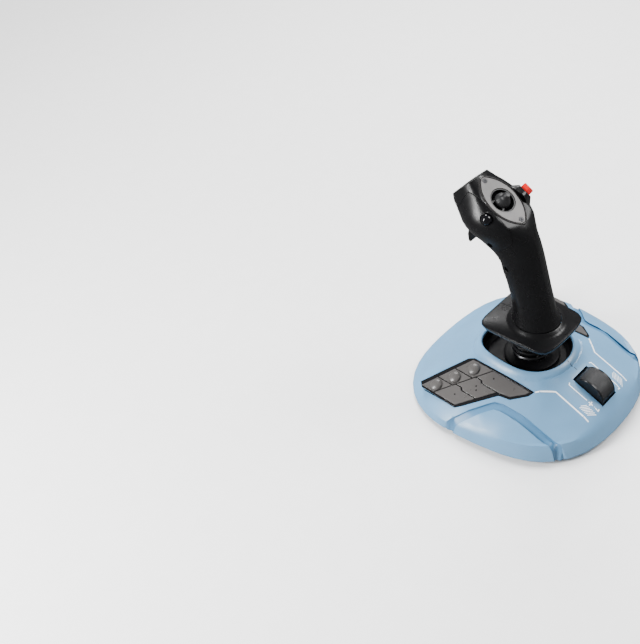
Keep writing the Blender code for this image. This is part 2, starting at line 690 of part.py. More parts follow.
def make_handle():
    """Two shells that meet on the centre seam, with a module let into each side of the head."""
    twist = at(0, 0, FLANGE_Z)
    lens = prism("cut_hat_lens", lens_outline(GAP + 0.1), -9, 6, hat_frame(), None)
    slot = prism("cut_trigger_slot", trigger_slot_outline(), -TRIGGER_HALF_WIDTH - 0.6, TRIGGER_HALF_WIDTH + 0.6,
                 side_frame(), None)
    for side, sign in (("left", -1), ("right", 1)):
        shell = half_shell(f"handle_{side}_shell", sign, BLACK, twist)
        near, far = sorted((sign * (MODULE_INNER_X - GAP), sign * 45.0))
        opening = prism(f"cut_module_{side}", grown(MODULE_OUTLINE, GAP), near, far, side_frame(), None)
        reach = sign * (TRIGGER_PIN_REACH + GAP)
        pin_bore = rod(f"cut_pin_seat_{side}", 1.5 + GAP, at(0, *TRIGGER_PIVOT), at(reach, *TRIGGER_PIVOT), None,
                       segments=16)
        for cutter in (lens, opening, slot, pin_bore):
            combine(shell, cutter)
        add_boss(shell, "handle_screw_lower", side, sign)


def add_boss(shell, name, side, sign):
    """A post inside the handle for one of its screws, which is sunk from the left."""
    y, z = SCREW_PLACES[name]
    post = rod(f"join_{name}_{side}", BOSS_RADIUS, at(sign * GAP, y, z), at(sign * BOSS_REACH[name], y, z), None,
               segments=16)
    combine(shell, post, "UNION")
    combine(shell, rod(f"cut_shank_{name}_{side}", 1.5, at(-24, y, z), at(5, y, z), None, segments=12))
    if sign < 0:
        combine(shell, rod(f"cut_head_{name}", 2.8, at(-45, y, z), at(SCREW_HEAD_X + 1.7, y, z), None, segments=16))


def trim_module(module, side, sign):
    """Keep the part of a half shell that is the moulded cover on one side of the head."""
    near, far = sorted((sign * MODULE_INNER_X, sign * 44.0))
    keep = prism(f"keep_module_{side}", MODULE_OUTLINE, near, far, side_frame(), None)
    combine(module, keep, "INTERSECT")
    add_boss(module, "handle_screw_upper", side, sign)


def rounded_square(turn):
    """A point on a square with well-rounded corners, one unit from its middle to each side."""
    across = math.cos(turn)
    along = math.sin(turn)
    return Vector((across, along)) / (abs(across) ** 4 + abs(along) ** 4) ** 0.25


def make_ball_button():
    """The left module and the ball that is pressed into it."""
    centre = at(*BALL_CENTRE)
    axis = Vector(BALL_AXIS).normalized() * MM
    module = half_shell("thumb_module_left", -1, BLACK, at(0, 0, FLANGE_Z))
    trim_module(module, "left", -1)
    combine(module, rod("cut_ball", BALL_RADIUS + GAP, centre - axis * 12, centre + axis * 12, None, segments=24))
    profile = ((0.0, -8.0), (3.4, -8.0), (3.4, -4.2), (4.7, -1.6), (5.0, 0.0), (4.7, 1.7), (3.5, 3.5), (1.9, 4.6),
               (0.0, 5.0))
    turned("ball_button", profile, frame_from(centre, BALL_AXIS), GLOSS_BLACK, centre, steps=24)


def make_red_button():
    """The right module with its square bezel, and the red key inside it."""
    centre = at(*RED_CENTRE)
    frame = frame_from(centre, RED_AXIS)
    module = half_shell("side_module_right", 1, BLACK, at(0, 0, FLANGE_Z))
    loops = []
    for depth, half in RED_BOSS:
        corners = [rounded_square(turn) * half for turn in angles(RED_BOSS_STEPS)]
        loops.append([frame @ (Vector((*corner, depth)) * MM) for corner in corners])
    combine(module, loft("join_red_boss", loops, None), "UNION")
    trim_module(module, "right", 1)
    hole = 2 * (RED_HALF + GAP)
    combine(module, box("cut_red_hole", (hole, hole, 40), (0, 0, 0), frame, None))
    key = box("red_button", (2 * RED_HALF, 2 * RED_HALF, 11), (0, 0, 0), frame, RED, centre)
    soften(key, 0.7)


def make_hat():
    """The hat plate, its dish, the rocker and the cap that tilts on it."""
    twist = at(0, 0, FLANGE_Z)
    middle = LENS_LENGTH / 2
    plate = prism("hat_plate", lens_outline(0.0), -HAT_THICKNESS, 0.2, hat_frame(), GREY, twist)
    frame = hat_frame(middle)
    pivot = hat_frame(middle, -6.0).translation.copy()
    combine(plate, turned("cut_dish", ((0, -9), (DISH_RADIUS, -9), (DISH_RADIUS, 9), (0, 9)), frame, None, steps=32))
    r = DISH_RADIUS - GAP
    dish = ((4.0, -11.5), (r - 1, -11.5), (r, -10.5), (r, -0.4), (r - 1.0, -0.4), (r - 1.6, -4.0), (7.2, -6.6),
            (7.2, -9.9), (4.0, -9.9))
    turned("hat_housing", dish, frame, BLACK, twist, steps=32)
    rocker = ((0.0, -9.4), (2.6, -9.4), (2.6, -8.6), (5.2, -8.6), (5.2, -7.2), (0.0, -6.4))
    turned("hat_rocker", rocker, frame, BLACK, pivot, steps=20)
    cap = ((0.0, -6.0), (5.2, -5.0), (5.2, -3.4), (7.4, -1.4), (6.6, 1.6), (4.6, 4.0), (3.1, 5.2), (2.5, 9.4),
           (1.9, 10.0), (0.0, 10.0))
    turned("hat_cap", cap, frame, GREY_DARK, pivot, steps=24)
    for name, along in (("hat_plate_screw_lower", HAT_SCREW_INSET),
                        ("hat_plate_screw_upper", LENS_LENGTH - HAT_SCREW_INSET)):
        place = hat_frame(along)
        head = ((0.0, -8.0), (1.1, -8.0), (1.1, -1.3), (2.1, -1.3), (2.1, 0.4), (0.0, 0.4))
        turned(name, head, place, DARK_STEEL, twist, steps=16)
        bore = ((0.0, -9.0), (1.4, -9.0), (1.4, -1.6), (2.4, -1.6), (2.4, 4.0), (0.0, 4.0))
        combine(plate, turned(f"cut_{name}", bore, place, None, steps=16))


def make_trigger():
    """The trigger blade, the pin it swings on, and the screws that hold the handle together."""
    pivot = at(0, *TRIGGER_PIVOT)
    outline = ((71.0, 182.4), (70.4, 177.5), (68.6, 171.5), (68.9, 164.0), (70.4, 157.0), (69.7, 150.2),
               (68.0, 148.6), (66.3, 150.4), (65.8, 158.0), (63.6, 164.5), (60.8, 171.0), (60.2, 178.0),
               (62.6, 183.2), (66.5, 185.0))
    blade = prism("trigger", outline, -TRIGGER_HALF_WIDTH, TRIGGER_HALF_WIDTH, side_frame(), BLACK, pivot)
    bore = rod("cut_trigger_pin", 1.5 + GAP, at(-30, *TRIGGER_PIVOT), at(30, *TRIGGER_PIVOT), None, segments=16)
    combine(blade, bore)
    rod("trigger_pin", 1.5, at(-TRIGGER_PIN_REACH, *TRIGGER_PIVOT), at(TRIGGER_PIN_REACH, *TRIGGER_PIVOT), STEEL,
        at(0, 0, FLANGE_Z), segments=16)
    for name, (y, z) in SCREW_PLACES.items():
        turn = frame_from(at(SCREW_HEAD_X, y, z), (-1, 0, 0))
        profile = ((0.0, -20.0), (1.2, -20.0), (1.2, -1.4), (2.5, -1.4), (2.5, 0.0), (0.0, 0.0))
        turned(name, profile, turn, DARK_STEEL, at(0, 0, FLANGE_Z), steps=16)


def make_twist():
    """The bush the handle turns on and the sensor at the top of the shaft."""
    upright = Matrix.Translation(at(0, 0, 0))
    twist = at(0, 0, FLANGE_Z)
    bush = ((SHAFT_RADIUS + GAP, 84.5), (14.5, 84.5), (14.5, 86.5), (9.0, 86.5), (9.0, 94.0),
            (SHAFT_RADIUS + GAP, 94.0))
    turned("twist_bush", bush, upright, GREY_PLASTIC, twist, steps=24)
    low = SHAFT_TOP_Z + GAP
    sensor = ((0.0, low), (7.0, low), (7.0, low + 6.0), (3.0, low + 6.0), (3.0, low + 8.0), (0.0, low + 8.0))
    turned("twist_sensor", sensor, upright, BOARD, twist, steps=20)


def deck_frame(sign):
    """A frame on the base's side slope, sign -1 on the left: X runs to the right and Z out of it."""
    x_axis = Vector((1, 0, -sign * SIDE_SLOPE[1])).normalized()
    z_axis = Vector((sign * SIDE_SLOPE[1], 0, 1)).normalized()
    turn = Matrix((x_axis, Vector((0, 1, 0)), z_axis)).transposed().to_4x4()
    origin = at(sign * GROUP_ORIGIN_X, 0, SIDE_SLOPE[0] - SIDE_SLOPE[1] * GROUP_ORIGIN_X)
    return Matrix.Translation(origin) @ turn


def deck_outline(plan, sign):
    """Turns plan points, given for the right-hand side, into points in the side slope's frame."""
    stretch = math.hypot(1, SIDE_SLOPE[1])
    return [(sign * (x - GROUP_ORIGIN_X) * stretch, y) for x, y in plan]


def front_edge(x):
    """The button group's front edge."""
    return 68.5 - 0.70 * (GROUP_OUTER_X - x)


def row_edge(x):
    """The line between the domed row and the flat row."""
    return 51.5 - 0.91 * (GROUP_OUTER_X - x)


def rear_edge(x):
    """The flat row's rear edge on its two outer keys."""
    return 23.0 - 1.0 * (GROUP_OUTER_X - x)


def key_outlines():
    """The six keys' outlines in plan, by name: three domed ones in front, three flat ones behind."""
    g = KEY_GAP
    stops = (GROUP_OUTER_X, *COLUMN_X, GROUP_INNER_X)
    keys = {}
    for number in range(3):
        outer = stops[number] - g
        inner = stops[number + 1] + g
        keys[f"domed_{number + 1}"] = ((outer, row_edge(outer) + g), (outer, front_edge(outer) - 2.2),
                                       (inner, front_edge(inner) - 2.2), (inner, row_edge(inner) + g))
    jog = 2.4
    outer_keys = []
    for number in range(2):
        outer = stops[number] - g
        inner = stops[number + 1] + g
        turn = row_edge(inner) - 9.5
        step = 0 if number == 0 else jog
        start = [(outer, rear_edge(outer) + 1.8)]
        if number:
            before = row_edge(outer + 2 * g) - 9.5
            start += [(outer, before - 2.4 - g), (outer - step, before - g)]
        start += [(outer - step, row_edge(outer - step) - g), (inner - jog, row_edge(inner - jog) - g)]
        start += [(inner - jog, turn + g), (inner, turn - 2.4 + g), (inner, rear_edge(inner) + 1.8)]
        outer_keys.append(start)
    keys["flat_1"], keys["flat_2"] = outer_keys
    outer = COLUMN_X[1] - g
    inner = GROUP_INNER_X + g
    before = row_edge(outer + 2 * g) - 9.5
    keys["flat_3"] = ((outer, -6.0), (outer, before - 2.4 - g), (outer - jog, before - g),
                      (outer - jog, row_edge(outer - jog) - g), (inner, row_edge(inner) - g), (inner, -14),
                      (inner + 0.6, -31.5), (inner + 4.0, -29.5), (58.5, -17.5))
    return keys


def make_button_groups():
    """On each side, a bezel with six keys that press straight into the slope, and the board below."""
    for side, sign in (("left", -1), ("right", 1)):
        frame = deck_frame(sign)
        bezel = prism(f"button_bezel_{side}", grown(deck_outline(GROUP_OUTLINE, sign), 1.4), -BEZEL_DEPTH, BEZEL_LIFT,
                      frame, BLACK)
        for key, plan in key_outlines().items():
            middle = sum((Vector(point) for point in plan), Vector((0, 0))) / len(plan)
            local = deck_outline([middle], sign)[0]
            pivot = frame @ (Vector((*local, 0)) * MM)
            name = f"key_{key}_{side}"
            outline = deck_outline(plan, sign)
            part = prism(name, outline, -KEY_DEPTH, KEY_LIFT, frame, GREY_DARK, pivot)
            combine(bezel, prism(f"cut_{name}", grown(outline, GAP), -8, 8, frame, None))
            if key.startswith("domed"):
                dome = frame @ (Vector((*local, KEY_LIFT - 2.4)) * MM)
                combine(part, ball(f"join_dome_{name}", DOME_RADIUS, dome, None), "UNION")
        board = deck_outline(((88, 26), (88, 58), (50, 30), (50, -10), (62, -2)), sign)
        prism(f"button_board_{side}", board, -11.4, -9.8, frame, BOARD)


def throttle_frame():
    """A frame on the throttle's axle, its Z square to the base's rear slope."""
    tilt = math.atan(REAR_SLOPE[1])
    return Matrix.Translation(at(0, *DRUM_CENTRE)) @ Matrix.Rotation(tilt, 4, "X")


def make_throttle():
    """The drum-shaped paddle on its axle, held by a bracket, with its sensor on the right."""
    pivot = at(0, *DRUM_CENTRE)
    steps = 18
    arc = [DRUM_SPREAD * (i / steps - 0.5) for i in range(steps + 1)]
    outline = [(DRUM_RADIUS * math.sin(turn), DRUM_RADIUS * math.cos(turn)) for turn in arc]
    outline += [(4.5, -4.5), (-4.5, -4.5)]
    lean = throttle_frame() @ Matrix(((0, 0, 1), (1, 0, 0), (0, 1, 0))).to_4x4()
    drum = prism("throttle_paddle", outline, -DRUM_HALF_WIDTH, DRUM_HALF_WIDTH, lean, BLACK, pivot)
    bore = rod("cut_axle", 2.5 + GAP, at(-40, *DRUM_CENTRE), at(40, *DRUM_CENTRE), None, segments=16)
    combine(drum, bore)
    reach = DRUM_HALF_WIDTH + 6
    rod("throttle_axle", 2.5, at(-reach, *DRUM_CENTRE), at(reach, *DRUM_CENTRE), STEEL, segments=16)
    upright = Matrix.Translation(at(0, DRUM_CENTRE[0], 0))
    cheek = DRUM_HALF_WIDTH + 1.2
    height = DRUM_CENTRE[1] - BASE_BOTTOM_Z
    bracket = box("throttle_bracket", (2 * cheek + 5, 14, height), (0, 0, BASE_BOTTOM_Z + height / 2), upright,
                  GREY_PLASTIC)
    combine(bracket, box("cut_bracket", (2 * cheek, 40, 60), (0, 0, 38.5), upright, None))
    combine(bracket, bore)
    side = cheek + 2.5 + GAP
    pot = box("throttle_potentiometer", (5, 10, 16), (side + 2.5, 0, 26), upright, BOARD)
    combine(pot, bore)


def make_fittings():
    """The main board and the gland where the lead comes out."""
    upright = Matrix.Translation(at(0, 0, 0))
    bottom = BASE_BOTTOM_Z
    box("main_board", (34, 50, 1.6), (54, 4, bottom + 0.8), upright, BOARD)
    length = GLAND_SPAN[1] - GLAND_SPAN[0]
    profile = ((1.6, 0.0), (GLAND_RADIUS, 0.0), (GLAND_RADIUS, length), (1.6, length))
    outwards = gland_point(1) - gland_point(0)
    turned("cable_gland", profile, frame_from(gland_point(GLAND_SPAN[0]), outwards, Vector((0, 0, 1))), RUBBER,
           steps=20)


for stale in list(bpy.data.objects):
    bpy.data.objects.remove(stale)

PARTS = new_collection("flight_joystick")
CUTTERS = new_collection("cutters")

BLUE = material("blue_shell", (0.20, 0.37, 0.52), 0.42)
BLACK = material("black_plastic", (0.012, 0.012, 0.013), 0.45)
GLOSS_BLACK = material("gloss_black", (0.006, 0.006, 0.007), 0.12)
GREY = material("grey_plate", (0.17, 0.16, 0.16), 0.5)
GREY_DARK = material("dark_grey_plastic", (0.065, 0.065, 0.068), 0.5)
GREY_PLASTIC = material("grey_plastic", (0.12, 0.12, 0.125), 0.5)
RED = material("red_plastic", (0.70, 0.02, 0.02), 0.35)
RUBBER = material("black_rubber", (0.015, 0.015, 0.015), 0.8)
STEEL = material("steel", (0.45, 0.45, 0.46), 0.35, 1.0)
DARK_STEEL = material("dark_steel", (0.06, 0.06, 0.062), 0.4, 1.0)
BOARD = material("circuit_board", (0.02, 0.10, 0.05), 0.5)

make_top_shell()
make_bottom_pan()
make_feet()
make_bowl()
make_gimbal()
make_springs()
make_flange()
make_handle()
make_ball_button()
make_red_button()
make_hat()
make_trigger()
make_twist()
make_button_groups()
make_throttle()
make_fittings()
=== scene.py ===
"""Looks for the flight joystick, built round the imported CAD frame."""

import json
import math

import bmesh
import bpy
from mathutils import Matrix, Vector
from mathutils.bvhtree import BVHTree


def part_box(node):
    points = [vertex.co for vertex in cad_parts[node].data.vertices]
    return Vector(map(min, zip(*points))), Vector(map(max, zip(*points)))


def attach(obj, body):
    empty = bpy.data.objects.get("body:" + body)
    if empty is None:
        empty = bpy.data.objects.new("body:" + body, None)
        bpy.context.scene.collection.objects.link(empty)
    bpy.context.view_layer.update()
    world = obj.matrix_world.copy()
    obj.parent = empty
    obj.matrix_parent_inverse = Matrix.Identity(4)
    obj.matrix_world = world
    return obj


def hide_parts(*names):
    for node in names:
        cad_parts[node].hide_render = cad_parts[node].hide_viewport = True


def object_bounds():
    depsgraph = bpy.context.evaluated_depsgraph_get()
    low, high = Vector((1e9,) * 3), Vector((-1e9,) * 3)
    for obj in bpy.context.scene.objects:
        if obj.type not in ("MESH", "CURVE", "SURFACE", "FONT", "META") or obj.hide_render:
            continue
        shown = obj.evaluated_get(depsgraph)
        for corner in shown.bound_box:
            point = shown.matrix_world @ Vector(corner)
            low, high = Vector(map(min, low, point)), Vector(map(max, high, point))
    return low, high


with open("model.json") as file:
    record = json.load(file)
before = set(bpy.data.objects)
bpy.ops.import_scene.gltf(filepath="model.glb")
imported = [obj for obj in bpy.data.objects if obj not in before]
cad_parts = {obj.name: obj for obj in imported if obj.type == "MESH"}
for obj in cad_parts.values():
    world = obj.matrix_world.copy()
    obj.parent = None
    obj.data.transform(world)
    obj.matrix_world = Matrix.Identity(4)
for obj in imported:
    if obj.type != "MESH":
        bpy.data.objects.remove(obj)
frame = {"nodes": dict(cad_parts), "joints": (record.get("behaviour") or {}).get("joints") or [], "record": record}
CAD_BOX = [list(corner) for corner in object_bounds()]
NODES = frame["nodes"]
JOINTS = {joint["name"]: joint for joint in frame["joints"]}
SLOT_OF = {entry["node"]: entry["material_slot"] for entry in frame["record"]["subparts"]}
BODY_OF = {}
for body_name, members in frame["record"]["behaviour"]["bodies"].items():
    for member in members:
        BODY_OF[member] = body_name

MM = 0.001
AXIS = Vector(JOINTS["pitch"]["pos_m"])
SIDES = (("left", -1), ("right", 1))

# Camera, measured from the stick's own axis.
TARGET_HEIGHT = 0.100
CAMERA_AZIMUTH = 54.16
CAMERA_ELEVATION = 43.08
CAMERA_DISTANCE = 0.827
CAMERA_YAW = -9.55
CAMERA_PITCH = 1.03
CAMERA_ROLL = -0.35
CAMERA_LENS = 49.1
CAMERA_SHIFT = -0.1

# Printed lines on the base, in millimetres about the stick's axis.
PRINT_LIFT = 0.06
PRINT_SINK = 0.25
LONG_LINE = ((46.7, -32.2), (31.8, -50.2), (31.8, -86.5))
BRACKET_X = 17.9
BRACKET_FRONT = -55.4
BRACKET_REAR = -87.4
PLUS_Y = -79.2
PLUS_HALF = 2.2
BRACKET_GAP = (4.2, 4.0)
LONG_LINE_WIDTH = 1.3
BRACKET_WIDTH = 0.9
PLUS_WIDTH = 1.1
HATCH_COUNT = 7
HATCH_STEP = 1.75
HATCH_WIDTH = 0.55
HATCH_X = (21.6, 28.4)
HATCH_START = -77.5
HATCH_RISE = 5.2
HATCH_TOP = -74.0
# The rear groove is a flat dark strip, a painted shadow for the groove: its width, lift and line.
GROOVE_WIDTH = 1.1
GROOVE_LIFT = 0.03
GROOVE_LINE = ((0.0, -40.6), (0.0, -51.6))

# The channel in each side of the base, and how far from its middle line its painted shade reaches: a deeper blue
# that stands for the shade on the channel's floor and walls.
CHANNEL_PATH = ((114, 31), (98.5, 16), (76, -5), (71.8, -9.5), (69.9, -16.5), (69.6, -40), (68.7, -70),
                (68, -92))
CHANNEL_SHADE_REACH = 3.75

# Hat plate.
HAT_TILT = math.atan2(JOINTS["hat_left_right"]["axis"][2], JOINTS["hat_left_right"]["axis"][1])
LENS_LENGTH = 54.4
LENS_HALF_WIDTH = 15.0
LENS_TIP_HALF_WIDTH = 1.6
HAT_PIVOT_DEPTH = 6.0

# The strip round the hat plate: each ring's growth, its lift, and whether it follows the handle.
SURROUND_RINGS = ((0.5, -1.2, False), (0.5, 0.3, False), (0.85, 0.5, False), (1.6, 0.42, True),
                  (1.95, 0.1, True), (2.1, -1.2, True))

# The hat's side and the ball collar's section, as (radius, height).
HAT_PROFILE = ((5.0, -4.8), (5.2, -3.4), (6.6, -2.2), (7.3, -1.2), (7.2, -0.2), (6.7, 1.2), (5.9, 2.5),
               (4.9, 3.6), (4.1, 4.3), (3.7, 4.7), (3.2, 6.4), (2.95, 8.2), (2.8, 9.3), (2.4, 9.8),
               (1.6, 9.98))
HAT_RIBS = 24
HAT_RIB_DEPTH = 0.018
HAT_RIB_SPAN = (-0.3, 9.0)
COLLAR_SECTION = ((5.45, -3.0), (5.45, 0.5), (5.75, 0.8), (6.2, 0.55), (6.4, -0.1), (6.4, -3.0))
COLLAR_STEPS = 40
COLLAR_OFFSET = 1.5

# Size and turn of the thin dark cross on each hat-plate screw: painted shade for its cross recess.
RECESS_SHADE_SIZE = (2.6, 0.55, 0.1)
RECESS_SHADE_TURN = 0.6

# Bezel wall and handle seam.
BEZEL_SKIRT = 3.8
BEZEL_FOOT = 0.3
SEAM_REACH = 0.2
SEAM_INSET = 0.5
SEAM_HALF = 0.13

# Domes on the keys.
DOME_REACH = 5.9
DOME_RISE = 2.5
DOME_ROWS = 10
DOME_SINK = 0.3

# Dots on the flat keys: each key's number and the places of its dots.
DOT_RADIUS = 0.85
DOT_PLACES = ((1, ((0.0, 0.0),)), (2, ((-1.9, 1.2), (1.9, -1.2))), (3, ((-1.5, 11.0),)))

# Tread on the throttle drum.
TREAD_STEPS = 180
TREAD_RIBS = 27
TREAD_SPAN = math.radians(104)
TREAD_LEAN = math.atan(0.408)
TREAD_SINK = 0.6
TREAD_LIFT = 0.02
TREAD_HEIGHT = 0.22


def socket(node, name, value):
    """Set one input of a shader node."""
    node.inputs[name].default_value = value


def noise(tree, coords, scale, detail=3.0, stretch=None):
    """A noise texture on the object's own coordinates."""
    texture = tree.nodes.new("ShaderNodeTexNoise")
    socket(texture, "Scale", scale)
    socket(texture, "Detail", detail)
    if stretch:
        mapping = tree.nodes.new("ShaderNodeMapping")
        mapping.inputs["Scale"].default_value = stretch
        tree.links.new(coords, mapping.inputs["Vector"])
        coords = mapping.outputs["Vector"]
    tree.links.new(coords, texture.inputs["Vector"])
    return texture.outputs["Fac"]


def spread(tree, value, low, high):
    """Map a noise value to a range."""
    ranged = tree.nodes.new("ShaderNodeMapRange")
    socket(ranged, "From Min", 0.3)
    socket(ranged, "From Max", 0.7)
    socket(ranged, "To Min", low)
    socket(ranged, "To Max", high)
    tree.links.new(value, ranged.inputs["Value"])
    return ranged.outputs["Result"]


def tint(tree, value, colour, amount):
    """Vary a colour a little, lighter and darker."""
    ramp = tree.nodes.new("ShaderNodeValToRGB")
    ramp.color_ramp.elements[0].position = 0.3
    ramp.color_ramp.elements[1].position = 0.7
    ramp.color_ramp.elements[0].color = (*[c * (1 - amount) for c in colour], 1)
    ramp.color_ramp.elements[1].color = (*[min(1.0, c * (1 + amount)) for c in colour], 1)
    tree.links.new(value, ramp.inputs["Fac"])
    return ramp.outputs["Color"]


def surface(name, colour, roughness, grain=0.5, depth=0.02, amount=0.06, edge=0.0, metallic=0.0,
            stretch=None, coat=0.0, specular=0.5):
    """A procedural material: moulded grain, soft colour change and uneven gloss; sizes in millimetres."""
    made = bpy.data.materials.new(name)
    made.use_nodes = True
    tree = made.node_tree
    shader = tree.nodes["Principled BSDF"]
    coords = tree.nodes.new("ShaderNodeTexCoord").outputs["Object"]
    fine = noise(tree, coords, 1 / (grain * MM), 2.0, stretch)
    cloud = noise(tree, coords, 45.0)
    patch = noise(tree, coords, 160.0, 4.0)
    tree.links.new(tint(tree, cloud, colour, amount), shader.inputs["Base Color"])
    gloss = spread(tree, patch, roughness * 0.9, min(1.0, roughness * 1.1))
    tree.links.new(gloss, shader.inputs["Roughness"])
    bump = tree.nodes.new("ShaderNodeBump")
    socket(bump, "Strength", 0.6)
    socket(bump, "Distance", depth * MM)
    tree.links.new(fine, bump.inputs["Height"])
    if edge:
        bevel = tree.nodes.new("ShaderNodeBevel")
        bevel.samples = 4
        socket(bevel, "Radius", edge * MM)
        tree.links.new(bevel.outputs["Normal"], bump.inputs["Normal"])
    tree.links.new(bump.outputs["Normal"], shader.inputs["Normal"])
    socket(shader, "Metallic", metallic)
    socket(shader, "Specular IOR Level", specular)
    socket(shader, "Coat Weight", coat)
    socket(shader, "Coat Roughness", 0.12)
    return made


def circuit_board(name):
    """Green solder mask with a fine pattern of tracks."""
    made = surface(name, (0.015, 0.10, 0.045), 0.35, amount=0.1)
    tree = made.node_tree
    shader = tree.nodes["Principled BSDF"]
    coords = tree.nodes.new("ShaderNodeTexCoord").outputs["Object"]
    bricks = tree.nodes.new("ShaderNodeTexBrick")
    socket(bricks, "Scale", 220.0)
    socket(bricks, "Mortar Size", 0.04)
    socket(bricks, "Color1", (0.015, 0.10, 0.045, 1))
    socket(bricks, "Color2", (0.013, 0.085, 0.04, 1))
    socket(bricks, "Mortar", (0.06, 0.22, 0.10, 1))
    tree.links.new(coords, bricks.inputs["Vector"])
    tree.links.new(bricks.outputs["Color"], shader.inputs["Base Color"])
    return made


LOOKS = {
    "blue_shell": surface("blue_satin", (0.120, 0.262, 0.425), 0.34, 0.6, 0.012, 0.035, 0.5),
    "black_plastic": surface("black_moulded", (0.0035, 0.0035, 0.004), 0.29, 0.45, 0.006, 0.10, 0.4,
                             specular=0.26),
    "gloss_black": surface("black_gloss", (0.003, 0.003, 0.004), 0.07, 0.8, 0.003, 0.05, specular=0.35),
    "grey_plate": surface("grey_plate", (0.080, 0.075, 0.073), 0.36, 0.4, 0.012, 0.05, 0.3),
    "dark_grey_plastic": surface("dark_grey", (0.070, 0.066, 0.064), 0.30, 0.4, 0.012, 0.06, 0.3),
    "grey_plastic": surface("grey_inner", (0.10, 0.10, 0.105), 0.5, 0.5, 0.02, 0.06, 0.3),
    "red_plastic": surface("red_key", (0.66, 0.006, 0.006), 0.24, 0.5, 0.006, 0.05, 0.3, specular=0.4),
    "black_rubber": surface("rubber", (0.014, 0.014, 0.014), 0.75, 0.35, 0.05, 0.12, 0.3),
    "steel": surface("steel", (0.42, 0.42, 0.43), 0.28, 0.5, 0.01, 0.05, 0.2, 1.0, (1, 1, 0.08)),
    "dark_steel": surface("blackened_steel", (0.030, 0.030, 0.032), 0.32, 0.4, 0.01, 0.08, 0.2, 0.85),
    "circuit_board": circuit_board("board"),
}
SURROUND_LOOKS = surface("surround_black", (0.020, 0.019, 0.019), 0.26, 0.4, 0.008, 0.08, 0.3)
TREAD_LOOKS = surface("tread_rubber", (0.014, 0.014, 0.015), 0.5, 0.4, 0.012, 0.08, specular=0.4)
# Black plastic made darker and duller than the rest: painted shade for the inside of the well.
WELL_SHADE_PAINT = surface("well_black_painted_shade", (0.002, 0.002, 0.0025), 0.5, 0.5, 0.02, 0.10, 0.3, specular=0.1)
BEZEL_LOOKS = surface("bezel_black", (0.005, 0.005, 0.006), 0.16, 0.5, 0.006, 0.08, 0.3, coat=0.2)
HAT_LOOKS = surface("hat_black", (0.016, 0.016, 0.017), 0.38, 0.4, 0.010, 0.08, 0.3, specular=0.3)
WHITE_PRINT = surface("white_print", (0.94, 0.95, 0.97), 0.42, 0.3, 0.01, 0.02)
# Deeper blue for the channels: painted shade on their floor and walls.
CHANNEL_SHADE_PAINT = surface("channel_painted_shade", (0.062, 0.175, 0.315), 0.42, 0.6, 0.012, 0.035, 0.3)
# Dark blue for the rear groove's strip: painted shadow, laid flat on the shell.
GROOVE_SHADOW_PAINT = surface("groove_shadow", (0.035, 0.065, 0.10), 0.5, 0.3, 0.01, 0.05)
# Black for the dots on the flat keys, and painted shade for the cross recesses of the hat plate's screws.
DOT_AND_RECESS_SHADE_PAINT = surface("key_dot_and_recess_shade", (0.002, 0.002, 0.002), 0.6, 0.3, 0.01, 0.05, specular=0.1)


def new_object(name, bm, looks, angle=35):
    """Turn a bmesh into an object, smooth except across its hard edges."""
    bmesh.ops.recalc_face_normals(bm, faces=bm.faces)
    limit = math.radians(angle)
    for face in bm.faces:
        face.smooth = True
    for edge in bm.edges:
        edge.smooth = len(edge.link_faces) == 2 and edge.calc_face_angle(0.0) < limit
    mesh = bpy.data.meshes.new(name)
    bm.to_mesh(mesh)
    bm.free()
    obj = bpy.data.objects.new(name, mesh)
    bpy.context.scene.collection.objects.link(obj)
    mesh.materials.append(looks)
    return obj


def welded(node):
    """A CAD node's mesh with its split corners joined and its flat faces whole."""
    bm = bmesh.new()
    bm.from_mesh(NODES[node].data)
    bmesh.ops.remove_doubles(bm, verts=bm.verts, dist=2e-6)
    bmesh.ops.dissolve_limit(bm, angle_limit=math.radians(0.4), verts=bm.verts, edges=bm.edges)
    return bm


def skin(node, looks=None, angle=35, rounding=0.0):
    """A smooth, finished copy of a CAD node that stands for it."""
    obj = new_object(f"{node}_skin", welded(node), looks or LOOKS[SLOT_OF[node]], angle)
    if rounding:
        bevel = obj.modifiers.new("rounding", "BEVEL")
        bevel.width = rounding * MM
        bevel.segments = 2
        bevel.limit_method = "ANGLE"
        bevel.angle_limit = math.radians(angle)
        bevel.harden_normals = True
    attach(obj, BODY_OF[node])
    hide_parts(node)


def tree_of(*nodes):
    """One ray-cast tree over some CAD nodes."""
    points = []
    faces = []
    for node in nodes:
        mesh = NODES[node].data
        start = len(points)
        points += [v.co.copy() for v in mesh.vertices]
        faces += [[start + i for i in face.vertices] for face in mesh.polygons]
    return BVHTree.FromPolygons(points, faces)


DECK = tree_of("base_top_shell")


def deck_point(x, y, lift):
    """A point over the base's top at x, y in millimetres about the stick's axis."""
    place = AXIS + Vector((x, y, 0)) * MM
    hit = DECK.ray_cast(Vector((place.x, place.y, 0.2)), Vector((0, 0, -1)))[0]
    height = hit.z if hit else AXIS.z
    return Vector((place.x, place.y, height + lift * MM))


def resampled(path, step=1.6):
    """Points along a polyline at about an even spacing, its corners kept."""
    points = [Vector(path[0])]
    for a, b in zip(path, path[1:]):
        a, b = Vector(a), Vector(b)
        count = max(1, round((b - a).length / step))
        points += [a.lerp(b, i / count) for i in range(1, count + 1)]
    return points


def mitres(points):
    """At each point of a polyline, the sideways vector that keeps a band's width round its corners."""
    steps = [(b - a).normalized() for a, b in zip(points, points[1:])]
    out = []
    for i in range(len(points)):
        before = steps[max(0, i - 1)]
        after = steps[min(i, len(steps) - 1)]
        middle = (before + after).normalized()
        across = Vector((-middle.y, middle.x))
        out.append(across / max(0.4, middle.dot(after)))
    return out


